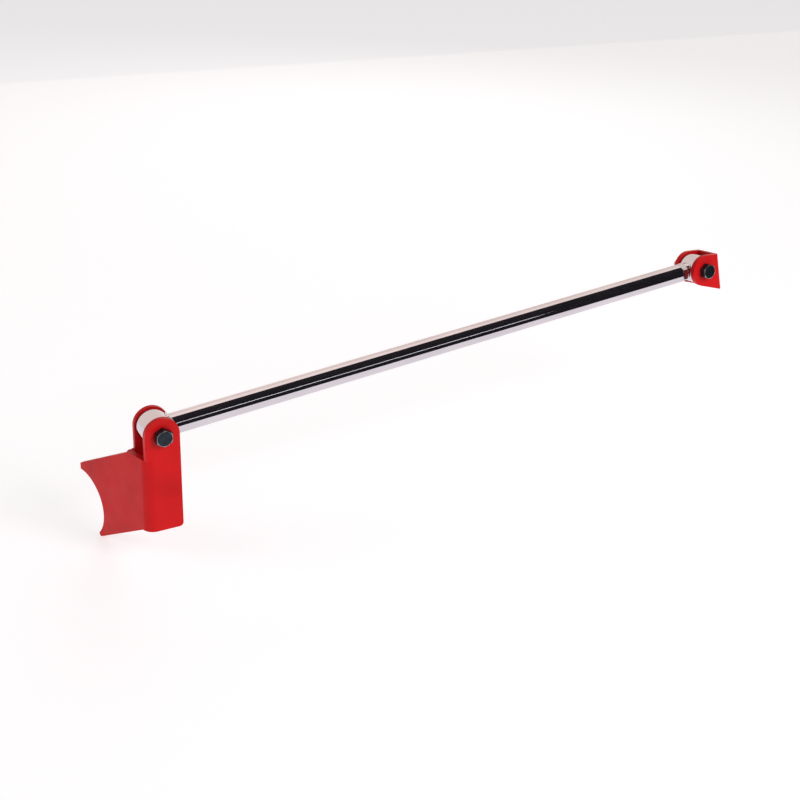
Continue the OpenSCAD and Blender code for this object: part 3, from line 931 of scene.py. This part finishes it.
class TRACKBAR_OT_adjuster(bpy.types.Operator):
    """Makes the threaded stud with its neck, the jam nut and the bung in the tube's end"""
    bl_idname = "trackbar.adjuster"
    bl_label = "Adjuster"

    def execute(self, context):
        sizes = context.scene.track_bar_hardware
        bar = context.scene.track_bar_sizes
        jam_start = -bar.tube_setback + 0.2 * MM
        neck_start = jam_start + sizes.jam_h + 0.3 * MM
        bore = sizes.stud_d / 2 + 0.08 * MM
        rings = hex_profile(jam_start, jam_start + sizes.jam_h, sizes.jam_af, True, True, bore)
        nut = hex_solid("jam_nut_made", rings, EYE_PLACE, "X")
        finish_piece(nut, "jam_nut", ["jam_nut"], finish("plated_nut"), 28.0)

        thread = threaded_rod(
            "thread", neck_start - sizes.stud_len, neck_start + 0.2 * MM, sizes.stud_d / 2,
            sizes.stud_pitch, 0.75 * MM, "X", EYE_PLACE,
        )
        barrel = bar.eye_od / 2 - SEAT_GAP
        neck = self.neck(neck_start, sizes.neck_d / 2, barrel)
        piece = join("eye_stud_made", [thread, neck])
        finish_piece(piece, "frame_eye", ["eye_stud"], finish("plated_nut"), 50.0)

        bung_r = bar.tube_od / 2 - bar.tube_wall
        mouth = -bar.tube_setback
        profile = rounded_tube_profile(mouth - 45 * MM, mouth, bore, bung_r, 0.5 * MM)
        bung = ring_solid("tube_bung_turned", profile, "X", EYE_PLACE)
        finish_piece(bung, "bar", ["tube_bung"], finish("sleeve_steel"))
        return {"FINISHED"}

    def neck(self, start, radius, barrel):
        """A round shoulder whose far end is coped to the barrel."""
        segments = 96
        edge = 0.7 * MM
        rows = [
            (start, radius - edge), (start + 0.3 * edge, radius - 0.3 * edge),
            (start + edge, radius), (None, radius),
        ]
        verts = []
        for station, size in rows:
            for j in range(segments):
                turn = math.tau * j / segments
                height = size * math.sin(turn)
                coped = -math.sqrt(barrel * barrel - height * height)
                verts.append(along("X", coped if station is None else station, size, turn))
        verts.append((start, 0, 0))
        verts.append((-barrel, 0, 0))
        return new_mesh_object("neck", verts, rod_faces(len(rows), segments), EYE_PLACE)


class TRACKBAR_OT_studio(bpy.types.Operator):
    """Sets the floor, the lights, the dark flag that the plate reflects, and the camera"""
    bl_idname = "trackbar.studio"
    bl_label = "Studio"

    def execute(self, context):
        low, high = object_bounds()
        centre = (low + high) / 2
        self.floor(low.z, centre)
        self.world()
        studio = context.scene.track_bar_studio
        self.light("key_light", (centre.x + 0.9, centre.y - 2.4, 1.8), centre, 1.2, studio.key_power)
        self.light("fill_light", (centre.x - 2.8, centre.y + 0.5, 1.7), centre, 1.4, studio.fill_power)
        self.light("back_light", (centre.x + 1.2, centre.y + 2.0, 1.6), centre, 1.4, studio.back_power)
        self.cards(low, centre)
        self.camera(studio)
        context.scene.view_settings.view_transform = "Standard"
        return {"FINISHED"}

    def floor(self, height, centre):
        """A wide pale floor just below the part, which glows a little."""
        reach = 9.0
        corners = ((-1, -1), (1, -1), (1, 1), (-1, 1))
        verts = [(centre.x + sx * reach, centre.y + sy * reach, height - 0.5 * MM) for sx, sy in corners]
        floor = new_mesh_object("studio_floor", verts, [(0, 1, 2, 3)])
        base = tuple(bpy.context.scene.track_bar_colours.floor)
        s = Surface("pale_floor", base, 0.0, 0.7)
        s.colour(s.ramp(s.noise(2, 2), [(0.3, shade(base, 0.99)), (0.7, base)]))
        s.set("Emission Color", (1.0, 0.99, 1.0, 1.0))
        s.set("Emission Strength", bpy.context.scene.track_bar_studio.floor_glow)
        floor.data.materials.append(s.material)
        floor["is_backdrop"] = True

    def world(self):
        """A dim warm room, palest at the horizon."""
        world = bpy.data.worlds.new("studio_world")
        world.use_nodes = True
        tree = world.node_tree
        background = tree.nodes["Background"]
        place = tree.nodes.new("ShaderNodeTexCoord")
        split = tree.nodes.new("ShaderNodeSeparateXYZ")
        ramp = tree.nodes.new("ShaderNodeValToRGB")
        ramp.color_ramp.elements[0].color = (0.62, 0.57, 0.55, 1.0)
        ramp.color_ramp.elements[1].color = (0.24, 0.22, 0.21, 1.0)
        tree.links.new(place.outputs["Generated"], split.inputs["Vector"])
        tree.links.new(split.outputs["Z"], ramp.inputs["Fac"])
        tree.links.new(ramp.outputs["Color"], background.inputs["Color"])
        background.inputs["Strength"].default_value = bpy.context.scene.track_bar_studio.room_glow
        bpy.context.scene.world = world

    def light(self, name, place, aim, size, watts):
        """A square soft light, left out of reflections."""
        data = bpy.data.lights.new(name, "AREA")
        data.energy = watts
        data.size = size
        lamp = bpy.data.objects.new(name, data)
        lamp.location = place
        lamp.rotation_euler = (Vector(aim) - Vector(place)).to_track_quat("-Z", "Y").to_euler()
        lamp.visible_glossy = False
        bpy.context.scene.collection.objects.link(lamp)

    def card(self, name, outline, middle, reach, colour, glow):
        """A card extruded along X from an outline of (y, z) points, seen only in reflections."""
        verts = [(middle + end * reach, y, z) for y, z in outline for end in (-1, 1)]
        faces = [(2 * i, 2 * i + 1, 2 * i + 3, 2 * i + 2) for i in range(len(outline) - 1)]
        card = new_mesh_object(name, verts, faces)
        s = Surface(name + "_cloth", colour, 0.0, 0.9)
        s.roughness(s.spread(s.noise(20, 2), 0.8, 0.95))
        s.set("Emission Color", (*colour, 1.0))
        s.set("Emission Strength", glow)
        s.material.cycles.emission_sampling = "NONE"
        card.data.materials.append(s.material)
        card.visible_camera = False
        card.visible_diffuse = False
        card.visible_shadow = False
        card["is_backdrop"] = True

    def cards(self, low, centre):
        """The dark half of the room in front of the bar, a lit slit in it, and the warm wall behind."""
        edge, front, top = centre.y - 0.62, centre.y - 1.3, centre.z + 2.4
        dark = [
            (edge, low.z + 2 * MM), (front, centre.z + 0.3),
            (front, centre.z + 1.3), (centre.y + 0.2, top),
        ]
        self.card("dark_flag", dark, centre.x + 1.0, 4.0, (0.004, 0.004, 0.008), 0.0)
        slit = [(front + 0.05, centre.z + 0.52), (front + 0.05, centre.z + 0.59)]
        self.card("slit_card", slit, centre.x - 0.25, 1.15, (0.9, 0.95, 1.0), 1.3)
        wall = [(centre.y + 0.2, top), (centre.y + 2.6, top), (centre.y + 2.6, low.z + 2 * MM)]
        self.card("warm_wall", wall, centre.x + 1.0, 4.0, (0.78, 0.70, 0.63), 0.5)

    def camera(self, studio):
        """The camera, set by its turn, height and roll about the point that it looks at."""
        data = bpy.data.cameras.new("studio_camera")
        data.lens = studio.focal
        data.sensor_width = 36.0
        data.clip_end = 100.0
        camera = bpy.data.objects.new("studio_camera", data)
        turn, tilt, roll = studio.azimuth, studio.elevation, studio.roll
        reach = math.cos(tilt)
        forward = Vector((math.sin(turn) * reach, math.cos(turn) * reach, -math.sin(tilt)))
        level = Vector((math.cos(turn), -math.sin(turn), 0))
        down = forward.cross(level)
        right = math.cos(roll) * level + math.sin(roll) * down
        up = math.sin(roll) * level - math.cos(roll) * down
        aim = AXLE_BOLT + Vector((studio.aim_along, 0, -studio.aim_drop))
        rotation = Matrix((right, up, -forward)).transposed().to_4x4()
        camera.matrix_world = Matrix.Translation(aim - studio.distance * forward) @ rotation
        bpy.context.scene.collection.objects.link(camera)
        bpy.context.scene.camera = camera


class TRACKBAR_PT_panel(bpy.types.Panel):
    """Lists the pieces to build and the sizes, colours and studio settings"""
    bl_label = "Track Bar"
    bl_idname = "TRACKBAR_PT_panel"
    bl_space_type = "VIEW_3D"
    bl_region_type = "UI"
    bl_category = "Track Bar"

    def draw(self, context):
        for operator in OPERATORS:
            self.layout.operator(operator.bl_idname)
        for group in GROUPS:
            box = self.layout.box()
            for name in GROUPS[group].__annotations__:
                box.prop(getattr(context.scene, group), name)


OPERATORS = (
    TRACKBAR_OT_brackets, TRACKBAR_OT_bracket_weld, TRACKBAR_OT_tube,
    TRACKBAR_OT_eyes, TRACKBAR_OT_bushings, TRACKBAR_OT_bolts,
    TRACKBAR_OT_nuts, TRACKBAR_OT_adjuster, TRACKBAR_OT_studio,
)
GROUPS = {
    "track_bar_sizes": TrackBarSizes, "track_bar_hardware": TrackBarHardware,
    "track_bar_colours": TrackBarColours, "track_bar_studio": TrackBarStudio,
}


def register():
    for cls in (*GROUPS.values(), *OPERATORS, TRACKBAR_PT_panel):
        bpy.utils.register_class(cls)
    for name, cls in GROUPS.items():
        setattr(bpy.types.Scene, name, bpy.props.PointerProperty(type=cls))


def unregister():
    for name in GROUPS:
        delattr(bpy.types.Scene, name)
    for cls in reversed((*GROUPS.values(), *OPERATORS, TRACKBAR_PT_panel)):
        bpy.utils.unregister_class(cls)


def main():
    register()
    for operator in OPERATORS:
        section, name = operator.bl_idname.split(".")
        result = getattr(getattr(bpy.ops, section), name)()
        if result != {"FINISHED"}:
            raise RuntimeError(f"{operator.bl_idname} did not finish")
    bpy.context.view_layer.update()


if __name__ == "__main__":
    main()
